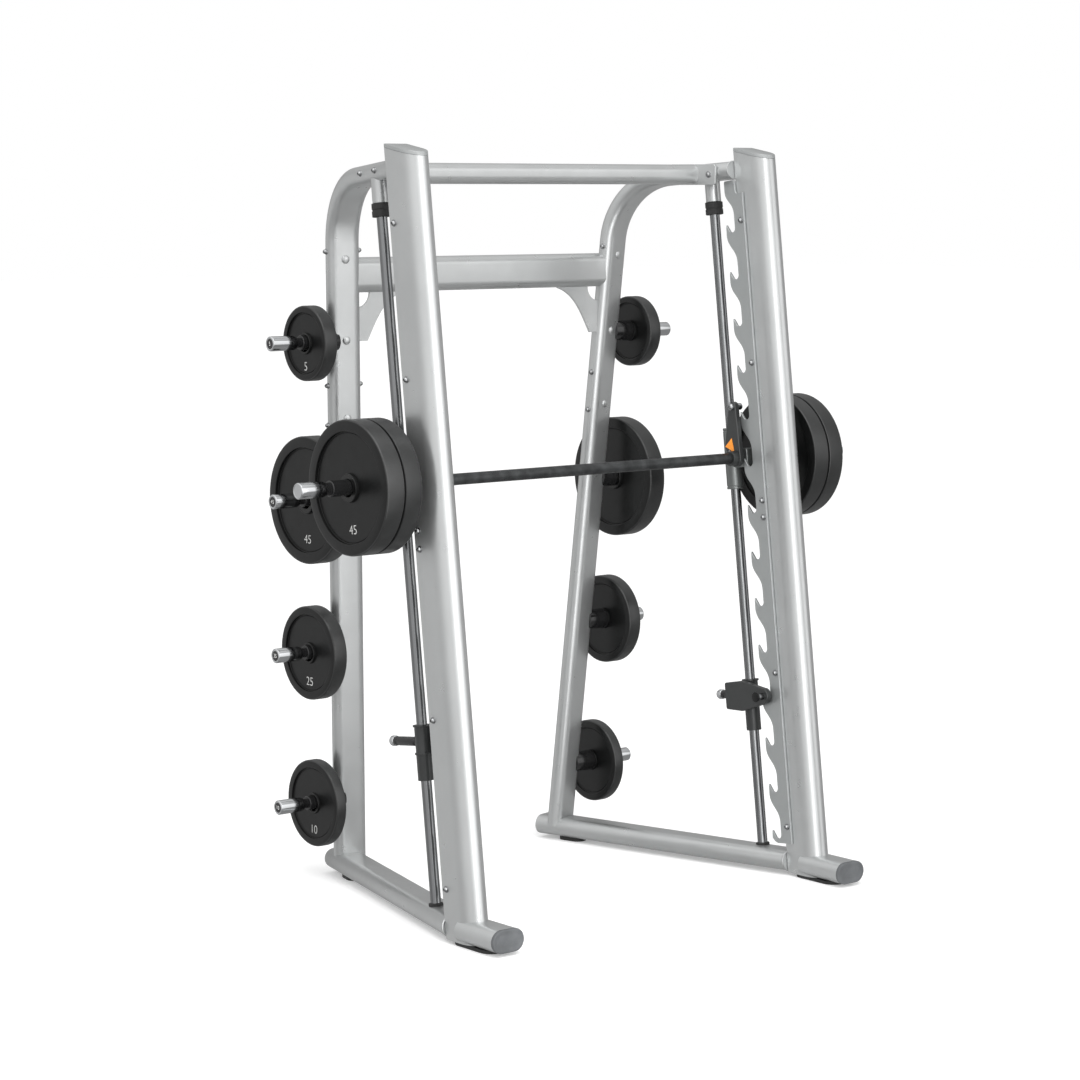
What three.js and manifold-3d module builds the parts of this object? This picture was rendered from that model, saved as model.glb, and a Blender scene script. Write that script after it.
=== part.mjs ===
// A smith machine: a barbell that runs on two leaning guide rods in a splayed steel frame.
// Millimetres, +X to the machine's right, +Y to its rear, +Z up, floor at z = 0.
import * as THREE from 'three';
import { mergeVertices } from 'three/addons/utils/BufferGeometryUtils.js';
import Module from 'manifold-3d';

const wasm = await Module();
wasm.setup();

// ---- driving dimensions ----
const LEAN = THREE.MathUtils.degToRad(7); // the rods and front uprights lean back by this much
const SPLAY = THREE.MathUtils.degToRad(15); // the base rails open outwards towards the front
const GAP = 0.3; // clearance between two pieces that touch
const WALL = 4; // wall of the frame tubes
const DEPTH_CENTRE = 252.8; // from the foot of the rods back to the middle of the footprint

const ROD_X = 664; // guide rods, each side of the middle
const ROD_FOOT_Z = 75;
const ROD_RADIUS = 16;
const ROD_BOTTOM = -40; // along the rod, from its foot
const ROD_TOP = 2150;

const UPRIGHT = { x: 689, halfWidth: 43, rear: -127, flat: 73, nose: 60, floor: 10.3, top: 2308 };
const CAP = { thickness: 12, slope: THREE.MathUtils.degToRad(10) };
const RAIL = { width: 110, height: 64, z: 44.5, xAtRod: 648, length: 860 };
const FOOT = { width: 112, height: 69, z: 45, front: -368, rear: -190, hollowTo: -266, capThickness: 11 };
const PAD = { thickness: 10, frontFrom: -150, frontTo: -335, rearWidth: 58, rearLength: 96, rearAt: 716 };

const POST = { width: 106, depth: 54 }; // flat-oval tube of the rear uprights and their arms
const POST_FOOT = new THREE.Vector3(437, 762, 48);
const POST_CORNER = new THREE.Vector3(558, 606, 2213);
const ARM_END = new THREE.Vector3(678, 105, 2252);
const POST_BEND_RADIUS = 225;

const TOP_BAR = { z: 2235, y: 262, height: 63, depth: 50 };
const TOP_FLANGE = { length: 176, height: 66, thickness: 9 };
const REAR_BAR = { z: 1925, height: 109, depth: 54 };
const GUSSET = { reach: 172, drop: 150, foot: 36, relief: 46, thickness: 8 };
const GUSSET_OVERLAP = 8; // how far the web runs into the crossbar

const CATCH = { x: 637.5, thickness: 8, front: -165, tip: -78.4, depth: 40, pitch: 150, teeth: 14 };
const CATCH_FIRST_TIP = 47; // height of the lowest tooth along the rod
const CATCH_TAIL = 34; // the plate below its lowest tooth tip
const VALLEY = { d: 26, h: -6, radius: 14 };

const HORN_HEIGHTS = { 5: 1721, 45: 1233, 25: 747, 10: 258 };
const HORN = { radius: 23, length: 274, tip: 93, neck: 17, neckRadius: 15, flange: 34, flangeThickness: 9 };
const PLATES = {
  // face: from the post's centre line to the outer face of the stored plate
  5: { radius: 116, thickness: 46, face: 148 },
  10: { radius: 138, thickness: 36, face: 142 },
  25: { radius: 147.5, thickness: 48, face: 151 },
  45: { radius: 199, thickness: 62, face: 152 },
};
const PLATE_SIDES = 24;
const PLATE_BORE = 26;

const BAR = { s: 1257, y: -59.6, radius: 15, end: 1057, gripRadius: 17.5, gripEnd: 588 };
const SLEEVE = { from: 742, end: 1082, radius: 24, collarFrom: 762, collarTo: 776, collarRadius: 36 };
const BAR_PLATE_FACE = 907; // outer face of the outer plate on the bar
const CARRIAGE = { radius: 27, length: 198, blockFrom: 649, blockTo: 690, blockFront: -82, blockHalf: 31 };
const BEARING = { radius: 20, length: 188 };
const HOOK = { length: 165, rest: THREE.MathUtils.degToRad(2), pin: 11, from: 614, to: 632, hubFrom: 592 };
const HOOK_ROUNDS = [[28, 0, 0], [10, 32, 40], [16, 0, HOOK.length]]; // radius, y and z of its corners

const STOP = { bottom: 374, top: 540, radius: 24, flange: 27.5, flangeThickness: 6, waist: 451 };
const STOP_ARM = { from: 613, to: 633, rear: 70, half: 43, waistY: -8, waist: 49, pinY: -104.4, nose: 26 };
const LOCK_PIN = { radius: 11, disc: 30, discThickness: 3.4, retract: 24, travelTip: 652 };

const BUMPER = { bottom: 2047, top: 2087, radius: 28.5 };
const SOCKET_RADIUS = 24.5;
const BUSH = { radius: 22, bottom: -30, top: 8 };

const ROUND = 16; // sides of a round piece

// ---- materials ----
const metal = (name, color, roughness, metalness) =>
  new THREE.MeshStandardMaterial({ name, color, roughness, metalness });
const SILVER = metal('frame_silver', 0xb9bcbb, 0.38, 0.75);
const PLATE_STEEL = metal('catch_steel', 0xa5a9a8, 0.42, 0.8);
const CHROME = metal('chrome', 0xd9dcde, 0.12, 1.0);
const HOUSING = metal('housing_grey', 0x7f8583, 0.4, 0.7);
const BLACK_STEEL = metal('black_steel', 0x3a3b3b, 0.5, 0.4);
const RUBBER = metal('black_rubber', 0x2c2d2d, 0.75, 0.0);
const GREY_PLASTIC = metal('grey_plastic', 0x606365, 0.55, 0.0);

// ---- solids from three.js geometry ----
function toSolid(geometry) {
  const bare = geometry.clone();
  bare.deleteAttribute('normal');
  bare.deleteAttribute('uv');
  const merged = mergeVertices(bare, 1e-4);
  return new wasm.Manifold(new wasm.Mesh({
    numProp: 3,
    vertProperties: new Float32Array(merged.attributes.position.array),
    triVerts: new Uint32Array(merged.index.array),
  }));
}

function toGeometry(solid) {
  const mesh = solid.getMesh();
  const geometry = new THREE.BufferGeometry();
  geometry.setAttribute('position', new THREE.BufferAttribute(new Float32Array(mesh.vertProperties), 3));
  geometry.setIndex(new THREE.BufferAttribute(new Uint32Array(mesh.triVerts), 1));
  return geometry;
}

function moved(geometry, x, y, z) {
  return geometry.clone().translate(x, y, z);
}

function join(...geometries) {
  return toGeometry(geometries.map(toSolid).reduce((a, b) => a.add(b)));
}

function cut(geometry, ...tools) {
  return toGeometry(tools.map(toSolid).reduce((a, b) => a.subtract(b), toSolid(geometry)));
}

function hullOf(...geometries) {
  return toGeometry(geometries.map(toSolid).reduce((a, b) => a.add(b)).hull());
}

function mirrored(geometry) {
  const copy = mergeVertices(geometry.clone()).scale(-1, 1, 1);
  const index = copy.index.array;
  for (let i = 0; i < index.length; i += 3) {
    [index[i + 1], index[i + 2]] = [index[i + 2], index[i + 1]];
  }
  return copy;
}

// ---- the frame that leans with the rods: its z runs up the rod, its y points to the rear ----
const LEANING = new THREE.Matrix4()
  .makeTranslation(0, 0, ROD_FOOT_Z)
  .multiply(new THREE.Matrix4().makeRotationX(-LEAN));
const UNLEANING = LEANING.clone().invert();

function leaning(geometry) {
  return geometry.clone().applyMatrix4(LEANING);
}

function upright(geometry) {
  return geometry.clone().applyMatrix4(UNLEANING);
}

// ---- outlines ----
function flatOval(width, height, segments = 5) {
  // a slot shape, long side along x when width is the larger
  const shape = new THREE.Shape();
  const r = Math.min(width, height) / 2;
  const a = width / 2 - r;
  const b = height / 2 - r;
  const points = [];
  const corners = [[a, b, 0], [-a, b, 90], [-a, -b, 180], [a, -b, 270]];
  for (const [x, y, start] of corners) {
    for (let i = 0; i <= segments; i += 1) {
      const t = THREE.MathUtils.degToRad(start + (90 * i) / segments);
      points.push(new THREE.Vector2(x + r * Math.cos(t), y + r * Math.sin(t)));
    }
  }
  const kept = points.filter((p, i) => p.distanceTo(points[(i + 1) % points.length]) > 0.01);
  return shape.setFromPoints(kept);
}

function uprightOutline(inset) {
  // a flat back, straight sides and a half-elliptical nose towards the front
  const { x, halfWidth, rear, flat, nose } = UPRIGHT;
  const half = halfWidth - inset;
  const points = [new THREE.Vector2(x + half, rear - inset), new THREE.Vector2(x - half, rear - inset)];
  const sides = 14;
  for (let i = 0; i <= sides; i += 1) {
    const t = Math.PI + (Math.PI * i) / sides;
    points.push(new THREE.Vector2(x + half * Math.cos(t), rear - flat + (nose - inset) * Math.sin(t)));
  }
  return new THREE.Shape(points);
}

function extrude(shape, depth, curveSegments = 8) {
  return new THREE.ExtrudeGeometry(shape, { depth, bevelEnabled: false, curveSegments });
}

function tubeAlongY(shape, from, to) {
  // the outline's x stays x and its y becomes z
  return extrude(shape, Math.abs(to - from)).rotateX(Math.PI / 2).translate(0, Math.max(from, to), 0);
}

function acrossX(shape, from, to) {
  // the outline's x becomes y and its y becomes z
  const turn = new THREE.Matrix4().set(0, 0, 1, 0, 1, 0, 0, 0, 0, 1, 0, 0, 0, 0, 0, 1);
  return extrude(shape, to - from).applyMatrix4(turn).translate(from, 0, 0);
}

function rod(radius, from, to, sides = ROUND) {
  return new THREE.CylinderGeometry(radius, radius, to - from, sides)
    .rotateX(Math.PI / 2)
    .translate(0, 0, (from + to) / 2);
}

function shaft(radius, from, to, sides = ROUND) {
  return new THREE.CylinderGeometry(radius, radius, to - from, sides)
    .rotateZ(Math.PI / 2)
    .translate((from + to) / 2, 0, 0);
}

function turned(profile, sides = ROUND) {
  // a profile of [radius, distance along x] pairs, turned about the x axis
  const points = profile.map(([r, x]) => new THREE.Vector2(r, x));
  return new THREE.LatheGeometry(points, sides).rotateZ(-Math.PI / 2);
}

// ---- splayed base rail, front upright and foot ----
function railEnvelope(grow, inset = 0, rearStop = 0) {
  const outline = flatOval(RAIL.width - 2 * inset + 2 * grow, RAIL.height - 2 * inset + 2 * grow);
  const rail = tubeAlongY(outline, -200, RAIL.length - rearStop);
  return rail.rotateZ(SPLAY).translate(RAIL.xAtRod, 0, RAIL.z);
}

function frontOfBackFace(clear) {
  // everything in front of the leaning back face of the upright, plus a clearance
  const y = UPRIGHT.rear + clear;
  return leaning(new THREE.BoxGeometry(900, 600, 5400).translate(UPRIGHT.x, y - 300, 0));
}

function baseRail() {
  const boreBush = leaning(moved(rod(BUSH.radius + GAP, BUSH.bottom - GAP, 60), ROD_X, 0, 0));
  return cut(railEnvelope(0), railEnvelope(0, WALL, WALL), boreBush, frontOfBackFace(GAP));
}

function frontUpright() {
  const body = extrude(uprightOutline(0), 2600).translate(0, 0, -150);
  const bore = extrude(uprightOutline(WALL), 2800).translate(0, 0, -200);
  const stub = tubeAlongY(flatOval(FOOT.width, FOOT.height), FOOT.front, FOOT.rear)
    .translate(UPRIGHT.x, 0, FOOT.z);
  const hollow = flatOval(FOOT.width - 2 * WALL, FOOT.height - 2 * WALL);
  const stubBore = tubeAlongY(hollow, FOOT.front - 5, FOOT.hollowTo).translate(UPRIGHT.x, 0, FOOT.z);
  const behind = new THREE.BoxGeometry(400, 200, 4000)
    .translate(UPRIGHT.x, UPRIGHT.rear + 100, 0);
  const floor = new THREE.BoxGeometry(400, 800, 400).translate(UPRIGHT.x, -200, UPRIGHT.floor - 200);
  const whole = join(leaning(body), cut(stub, leaning(behind)));
  return cut(whole, leaning(bore), stubBore, floor, aboveCap(0));
}

function aboveCap(height) {
  // everything above the sloping plane that closes the top of the upright
  const rearY = (UPRIGHT.top - ROD_FOOT_Z) * Math.tan(LEAN) + UPRIGHT.rear / Math.cos(LEAN);
  return new THREE.BoxGeometry(600, 900, 400)
    .translate(0, 0, 200 + height)
    .rotateX(CAP.slope)
    .translate(UPRIGHT.x, rearY, UPRIGHT.top);
}

function uprightCap() {
  const body = extrude(uprightOutline(0), 500).translate(0, 0, 2100);
  const below = aboveCap(GAP - 400);
  return cut(leaning(body), aboveCap(CAP.thickness), below);
}

function footCap() {
  const face = FOOT.front - GAP;
  const outer = tubeAlongY(flatOval(FOOT.width + 2, FOOT.height), face, face - FOOT.capThickness);
  const spigot = tubeAlongY(
    flatOval(FOOT.width - 2 * WALL - 1, FOOT.height - 2 * WALL - 1), face + 22, face - 1,
  );
  return join(outer, spigot).translate(UPRIGHT.x, 0, FOOT.z);
}

function frontPad() {
  const outline = flatOval(78, PAD.frontFrom - PAD.frontTo);
  return extrude(outline, PAD.thickness).translate(UPRIGHT.x, (PAD.frontFrom + PAD.frontTo) / 2, 0);
}

function rearPad() {
  const low = RAIL.z - RAIL.height / 2 - GAP;
  return extrude(flatOval(PAD.rearWidth, PAD.rearLength), low)
    .rotateZ(SPLAY)
    .translate(RAIL.xAtRod - PAD.rearAt * Math.tan(SPLAY), PAD.rearAt, 0);
}

// ---- rear post, bent forward into the arm ----
class BentPath extends THREE.Curve {
  // straight up, one bend of constant radius, straight on; equal steps of t are the stations below
  constructor(foot, corner, end, radius, bendSteps) {
    super();
    this.up = corner.clone().sub(foot).normalize();
    this.on = end.clone().sub(corner).normalize();
    this.angle = this.up.angleTo(this.on);
    this.radius = radius;
    this.bendSteps = bendSteps;
    this.reach = radius * Math.tan(this.angle / 2);
    this.lower = corner.distanceTo(foot) - this.reach;
    this.upper = end.distanceTo(corner) - this.reach;
  }

  getUtoTmapping(u) {
    return u;
  }

  turnAt(t) {
    const station = t * (this.bendSteps + 2);
    return (THREE.MathUtils.clamp(station - 1, 0, this.bendSteps) / this.bendSteps) * this.angle;
  }

  getPoint(t, target = new THREE.Vector3()) {
    const station = t * (this.bendSteps + 2);
    const turn = this.turnAt(t);
    const x = this.radius * (1 - Math.cos(turn));
    const z = this.lower + this.radius * Math.sin(turn);
    const before = Math.min(station, 1) - 1;
    const after = Math.max(station - 1 - this.bendSteps, 0);
    return target.set(
      x + after * this.upper * Math.sin(turn),
      0,
      z + before * this.lower + after * this.upper * Math.cos(turn),
    );
  }

  getTangent(t, target = new THREE.Vector3()) {
    const turn = this.turnAt(t);
    return target.set(Math.sin(turn), 0, Math.cos(turn));
  }
}

function postEnvelope(grow, inset = 0, overrun = 0) {
  const up = POST_CORNER.clone().sub(POST_FOOT).normalize();
  const on = ARM_END.clone().sub(POST_CORNER).normalize();
  const foot = POST_FOOT.clone().addScaledVector(up, -overrun);
  const end = ARM_END.clone().addScaledVector(on, overrun);
  const path = new BentPath(foot, POST_CORNER, end, POST_BEND_RADIUS, 7);
  const size = 2 * grow - 2 * inset;
  const tube = new THREE.ExtrudeGeometry(flatOval(POST.width + size, POST.depth + size, 4), {
    steps: 9,
    extrudePath: path,
    bevelEnabled: false,
  });
  const forward = on.clone().addScaledVector(up, -on.dot(up)).normalize();
  const side = up.clone().cross(forward);
  return tube.applyMatrix4(new THREE.Matrix4().makeBasis(forward, side, up).setPosition(foot));
}

function rearUpright() {
  return cut(postEnvelope(0), postEnvelope(0, WALL, 8), railEnvelope(GAP), frontOfBackFace(GAP));
}

// ---- crossbars ----
function topCrossbar() {
  const outline = flatOval(TOP_BAR.depth, TOP_BAR.height);
  const bore = flatOval(TOP_BAR.depth - 2 * WALL, TOP_BAR.height - 2 * WALL);
  const arm = ARM_END.clone().sub(POST_CORNER);
  const armAngle = Math.atan2(arm.x, -arm.y);
  const at = POST_CORNER.clone().addScaledVector(arm, (POST_CORNER.y - TOP_BAR.y) / -arm.y);
  const inner = at.x - (POST.width / 2) / Math.cos(armAngle);
  const flange = new THREE.BoxGeometry(TOP_FLANGE.thickness, TOP_FLANGE.length, TOP_FLANGE.height)
    .translate(-TOP_FLANGE.thickness / 2 - 1, 0, 0)
    .rotateZ(armAngle)
    .translate(inner, 0, 0);
  const beyond = new THREE.BoxGeometry(400, 800, 400)
    .translate(200 - 2, 0, 0)
    .rotateZ(armAngle)
    .translate(inner, 0, 0);
  const drain = shaft(8, -inner - 40, inner + 40, 12);
  const bar = cut(acrossX(outline, -inner - 30, inner + 30), beyond, mirrored(beyond));
  const hollow = acrossX(bore, -inner + 20, inner - 20);
  const whole = join(bar, flange, mirrored(flange)).translate(0, TOP_BAR.y, TOP_BAR.z);
  return cut(whole, moved(hollow, 0, TOP_BAR.y, TOP_BAR.z), moved(drain, 0, TOP_BAR.y, TOP_BAR.z));
}

function postPoint(z) {
  const up = POST_CORNER.clone().sub(POST_FOOT);
  return POST_FOOT.clone().addScaledVector(up, (z - POST_FOOT.z) / up.z);
}

function gusset(inner, bottom) {
  // a web with a hollow curved edge and a round relief where the tubes meet
  const { reach, drop, foot, relief, thickness } = GUSSET;
  const edge = new THREE.CubicBezierCurve(
    new THREE.Vector2(inner - reach, bottom - 2),
    new THREE.Vector2(inner - reach + 74, bottom - 22),
    new THREE.Vector2(inner - foot - 34, bottom - 88),
    new THREE.Vector2(inner - foot, bottom - drop),
  );
  const shape = new THREE.Shape([
    new THREE.Vector2(inner - reach, bottom + GUSSET_OVERLAP),
    ...edge.getPoints(8),
    new THREE.Vector2(inner + 30, bottom - drop),
    new THREE.Vector2(inner + 30, bottom + GUSSET_OVERLAP),
  ]);
  const web = tubeAlongY(shape, thickness / 2, -thickness / 2);
  const hole = rod(relief, -20, 20, 24).rotateX(Math.PI / 2).translate(inner + 2, 0, bottom);
  return cut(web, hole);
}

function rearCrossbar() {
  const post = postPoint(REAR_BAR.z);
  const bottom = REAR_BAR.z - REAR_BAR.height / 2;
  const outline = flatOval(REAR_BAR.depth, REAR_BAR.height);
  const bore = flatOval(REAR_BAR.depth - 2 * WALL, REAR_BAR.height - 2 * WALL);
  const reach = post.x - POST.depth / 2;
  const bar = acrossX(outline, -reach, reach).translate(0, post.y, REAR_BAR.z);
  const hollow = acrossX(bore, -reach - 9, reach + 9).translate(0, post.y, REAR_BAR.z);
  const inner = postPoint(bottom).x - POST.width / 2;
  const web = gusset(inner, bottom).translate(0, post.y, 0);
  const whole = join(bar, web, mirrored(web));
  return cut(whole, hollow, postEnvelope(GAP), mirrored(postEnvelope(GAP)));
}

// ---- guide rod and what holds it ----
function guideRod() {
  return moved(rod(ROD_RADIUS, ROD_BOTTOM, ROD_TOP), ROD_X, 0, 0);
}

function rodBush() {
  return moved(cut(rod(BUSH.radius, BUSH.bottom, BUSH.top), rod(ROD_RADIUS + GAP, -60, 60)), ROD_X, 0, 0);
}

function topBumper() {
  const { bottom, top, radius } = BUMPER;
  return moved(cut(rod(radius, bottom, top), rod(ROD_RADIUS + GAP, bottom - 5, top + 5)), ROD_X, 0, 0);
}

function rodSocket() {
  const tube = moved(rod(SOCKET_RADIUS, BUMPER.top + GAP, 2260), ROD_X, 0, 0);
  const bore = moved(rod(ROD_RADIUS + GAP, 2000, ROD_TOP + 2), ROD_X, 0, 0);
  const arm = upright(postEnvelope(GAP));
  const above = upright(new THREE.BoxGeometry(400, 600, 400).translate(ROD_X, 260, 2236 + 200));
  return cut(tube, bore, arm, above);
}

// ---- catch plate with its row of hook teeth ----
function catchOutline() {
  // y runs to the rear and the second number up the rod; d counts forward from the tooth tips
  const { front, tip, depth, pitch, teeth } = CATCH;
  const at = (d, h) => new THREE.Vector2(tip - d, h);
  const tail = CATCH_FIRST_TIP - CATCH_TAIL;
  const points = [new THREE.Vector2(front, tail), at(24, tail)];
  const belly = (d0, h0, d1, h1) => new THREE.CubicBezierCurve(
    at(d0, h0), at(d0, h0 + 42), at(d1, h1 - 38), at(d1, h1),
  );
  for (let i = 0; i < teeth; i += 1) {
    const h = CATCH_FIRST_TIP + i * pitch;
    if (i === 0) {
      points.push(at(8, h - 27), at(-1, h - 18));
    }
    points.push(at(0, h - 4), at(0, h + 6), at(5, h + 1));
    for (let k = 0; k <= 5; k += 1) {
      const t = THREE.MathUtils.degToRad(200 + (160 * k) / 5);
      points.push(at(VALLEY.d + VALLEY.radius * Math.cos(t), h + VALLEY.h + VALLEY.radius * Math.sin(t)));
    }
    if (i < teeth - 1) {
      points.push(...belly(depth, h + 38, -1, h + 124).getPoints(5));
    }
  }
  const last = CATCH_FIRST_TIP + (teeth - 1) * pitch;
  points.push(...belly(depth, last + 38, 4, last + 112).getPoints(6));
  points.push(
    at(4, last + 146), at(52, last + 146), at(56, last + 106), new THREE.Vector2(front, last + 102),
  );
  return new THREE.Shape(points);
}

function catchPlate() {
  return acrossX(catchOutline(), CATCH.x, CATCH.x + CATCH.thickness);
}

// ---- weights ----
function weightPlate({ radius, thickness }) {
  // a rim around a recessed web, alike on both faces; the bore is the turning axis
  const half = thickness / 2;
  const rim = radius * 0.84;
  const recess = Math.min(7, thickness * 0.14);
  const face = [
    [PLATE_BORE, half - recess], [rim, half - recess], [rim, half], [radius - 6, half], [radius, half - 6],
  ];
  const back = face.map(([r, x]) => [r, -x]).reverse();
  return turned([...back, ...face, back[0]].reverse(), PLATE_SIDES);
}

function horn() {
  const { radius, length, tip, neck, neckRadius } = HORN;
  const tipStart = length - tip;
  return turned([
    [0, 30], [radius, 30], [radius, tipStart - neck - 2], [neckRadius, tipStart - neck],
    [neckRadius, tipStart], [radius - 4, tipStart], [radius, tipStart + 10],
    [radius, length - 3], [radius - 3, length], [0, length],
  ], 16);
}

function hornAt(z, plate) {
  const post = postPoint(z);
  const inner = plate.face - plate.thickness;
  const flange = shaft(HORN.flange, inner - GAP - HORN.flangeThickness, inner - GAP);
  const whole = join(horn(), flange).translate(post.x, post.y, z);
  return cut(whole, postEnvelope(GAP));
}

function storedPlate(z, plate) {
  const post = postPoint(z);
  const hang = PLATE_BORE - HORN.radius - GAP;
  const x = post.x + plate.face - plate.thickness / 2;
  return weightPlate(plate).translate(x, post.y, z - hang);
}

// ---- bar, sleeves and carriage; all in the leaning frame ----
function barShaft() {
  const { radius, end, gripRadius, gripEnd, y, s } = BAR;
  return moved(join(shaft(radius, -end, end), shaft(gripRadius, -gripEnd, gripEnd)), 0, y, s);
}

function sleeve() {
  const { from, end, radius, collarFrom, collarTo, collarRadius } = SLEEVE;
  const { tip, neck, neckRadius } = HORN;
  const tipStart = end - tip;
  const body = turned([
    [BAR.radius + 0.4, from], [radius, from], [radius, collarFrom], [collarRadius, collarFrom],
    [collarRadius, collarTo], [radius, collarTo], [radius, tipStart - neck],
    [neckRadius + 3.4, tipStart - neck], [neckRadius + 3.4, tipStart], [radius - 4, tipStart],
    [radius, tipStart + 10], [radius, end - 3], [radius - 3, end], [0, end], [0, BAR.end + 4],
    [BAR.radius + 0.4, BAR.end + 4], [BAR.radius + 0.4, from],
  ]);
  return moved(body, 0, BAR.y, BAR.s);
}

function barPlate(face) {
  const hang = PLATE_BORE - SLEEVE.radius - GAP;
  const plate = weightPlate(PLATES[45]);
  return moved(plate, face - PLATES[45].thickness / 2, BAR.y, BAR.s - hang);
}

function carriage() {
  const { radius, length, blockFrom, blockTo, blockFront, blockHalf } = CARRIAGE;
  const bottom = BAR.s - length / 2;
  const housing = moved(rod(radius, bottom, bottom + length), ROD_X, 0, 0);
  const block = new THREE.BoxGeometry(blockTo - blockFrom, 10 - blockFront, 2 * blockHalf)
    .translate((blockFrom + blockTo) / 2, (blockFront + 10) / 2, BAR.s);
  const bore = moved(rod(BEARING.radius + GAP, bottom - 5, bottom + length + 5), ROD_X, 0, 0);
  const barBore = moved(shaft(BAR.radius + 0.4, blockFrom - 30, blockTo + 30), 0, BAR.y, BAR.s);
  return cut(join(housing, block), bore, barBore);
}

function linearBearing() {
  const bottom = BAR.s - BEARING.length / 2;
  const sleeveTube = rod(BEARING.radius, bottom, bottom + BEARING.length);
  const bore = rod(ROD_RADIUS + GAP, bottom - 5, bottom + BEARING.length + 5);
  return moved(cut(sleeveTube, bore), ROD_X, 0, 0);
}

function hook() {
  // an arm from the bar up to a pin that drops into a tooth when the bar is turned forward
  const { length, rest, pin, from, to, hubFrom } = HOOK;
  const arm = hullOf(...HOOK_ROUNDS.map(([radius, y, z]) => moved(shaft(radius, from, to, 20), 0, y, z)));
  const hub = shaft(24, hubFrom, to);
  const head = moved(shaft(pin, from - 8, 652), 0, 0, length);
  const bore = shaft(BAR.radius + GAP, hubFrom - 10, to + 10);
  return cut(join(arm, hub, head), bore).rotateX(rest).translate(0, BAR.y, BAR.s);
}

// ---- safety stops ----
const STOP_PIN_S = CATCH_FIRST_TIP + 3 * CATCH.pitch - 8;

function stopHandle() {
  // a round grip with a knob on its end
  const grip = turned([[0, 0], [14, 0], [14, 116], [16, 118], [16, 130], [13, 135], [0, 135]], 24);
  return grip.rotateZ(Math.PI / 2).translate(ROD_X, 20, STOP_PIN_S);
}

function safetyStop() {
  const { bottom, top, radius, flange, flangeThickness, waist } = STOP;
  const { from, to, rear, half, waistY, waist: waistHalf, pinY, nose } = STOP_ARM;
  const tube = rod(radius, bottom, top);
  const rings = [top - flangeThickness, waist].map((z) => rod(flange, z, z + flangeThickness));
  const outline = new THREE.Shape();
  outline.moveTo(rear, -half);
  outline.lineTo(rear, half);
  outline.lineTo(waistY, waistHalf);
  outline.lineTo(pinY + 6, nose);
  outline.absarc(pinY, 0, nose, Math.PI / 2, (3 * Math.PI) / 2, false);
  outline.lineTo(pinY + 6, -nose);
  outline.lineTo(waistY, -waistHalf);
  const arm = acrossX(outline, from, to).translate(0, 0, STOP_PIN_S);
  const web = new THREE.BoxGeometry(ROD_X - to + 2, 40, 2 * half - 8)
    .translate((ROD_X + to) / 2 - 1, 0, STOP_PIN_S);
  const bore = moved(rod(ROD_RADIUS + GAP, bottom - 5, top + 5), ROD_X, 0, 0);
  const pinBore = moved(shaft(LOCK_PIN.radius + GAP, from - 10, to + 10), 0, pinY, STOP_PIN_S);
  const body = [tube, ...rings].map((piece) => moved(piece, ROD_X, 0, 0));
  return cut(join(...body, arm, web, stopHandle()), bore, pinBore);
}

function lockPin() {
  // drawn back at rest; it slides outwards through the notch under a tooth
  const { radius, disc, discThickness, retract, travelTip } = LOCK_PIN;
  const tip = travelTip - retract;
  const stem = shaft(radius, STOP_ARM.from - retract - 2, tip);
  const knob = shaft(disc * 0.55, STOP_ARM.from - retract - 2 - discThickness, STOP_ARM.from - retract);
  return moved(join(stem, knob), 0, STOP_ARM.pinY, STOP_PIN_S);
}

// ---- assembly ----
const level = new THREE.Group();
const lean = new THREE.Group();
lean.position.z = ROD_FOOT_Z;
lean.rotation.x = -LEAN;

function place(group, name, geometry, material) {
  const mesh = new THREE.Mesh(geometry, material);
  mesh.name = name;
  group.add(mesh);
}

function placePair(group, name, geometry, material) {
  place(group, `${name}_right`, geometry, material);
  place(group, `${name}_left`, mirrored(geometry), material);
}

placePair(level, 'base_rail', baseRail(), SILVER);
placePair(level, 'front_upright', frontUpright(), SILVER);
placePair(level, 'upright_cap', uprightCap(), SILVER);
placePair(level, 'foot_cap', footCap(), GREY_PLASTIC);
placePair(level, 'front_pad', frontPad(), RUBBER);
placePair(level, 'rear_pad', rearPad(), RUBBER);
placePair(level, 'rear_upright', rearUpright(), SILVER);
place(level, 'top_crossbar', topCrossbar(), SILVER);
place(level, 'rear_crossbar', rearCrossbar(), SILVER);

for (const [weight, z] of Object.entries(HORN_HEIGHTS)) {
  placePair(level, `horn_${weight}`, hornAt(z, PLATES[weight]), BLACK_STEEL);
  placePair(level, `stored_plate_${weight}`, storedPlate(z, PLATES[weight]), RUBBER);
}

placePair(lean, 'guide_rod', guideRod(), CHROME);
placePair(lean, 'rod_bush', rodBush(), RUBBER);
placePair(lean, 'top_bumper', topBumper(), RUBBER);
placePair(lean, 'rod_socket', rodSocket(), SILVER);
placePair(lean, 'catch_plate', catchPlate(), PLATE_STEEL);

place(lean, 'bar', barShaft(), BLACK_STEEL);
placePair(lean, 'sleeve', sleeve(), CHROME);
placePair(lean, 'bar_plate_outer', barPlate(BAR_PLATE_FACE), RUBBER);
placePair(lean, 'bar_plate_inner', barPlate(BAR_PLATE_FACE - PLATES[45].thickness - GAP), RUBBER);
placePair(lean, 'carriage', carriage(), HOUSING);
placePair(lean, 'linear_bearing', linearBearing(), CHROME);
placePair(lean, 'hook', hook(), BLACK_STEEL);
placePair(lean, 'safety_stop', safetyStop(), BLACK_STEEL);
placePair(lean, 'lock_pin', lockPin(), CHROME);

const machine = new THREE.Group();
machine.position.y = -DEPTH_CENTRE;
machine.add(level, lean);

export default machine;
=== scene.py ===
import math

import bpy
from mathutils import Matrix, Vector
from mathutils.geometry import tessellate_polygon


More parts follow.
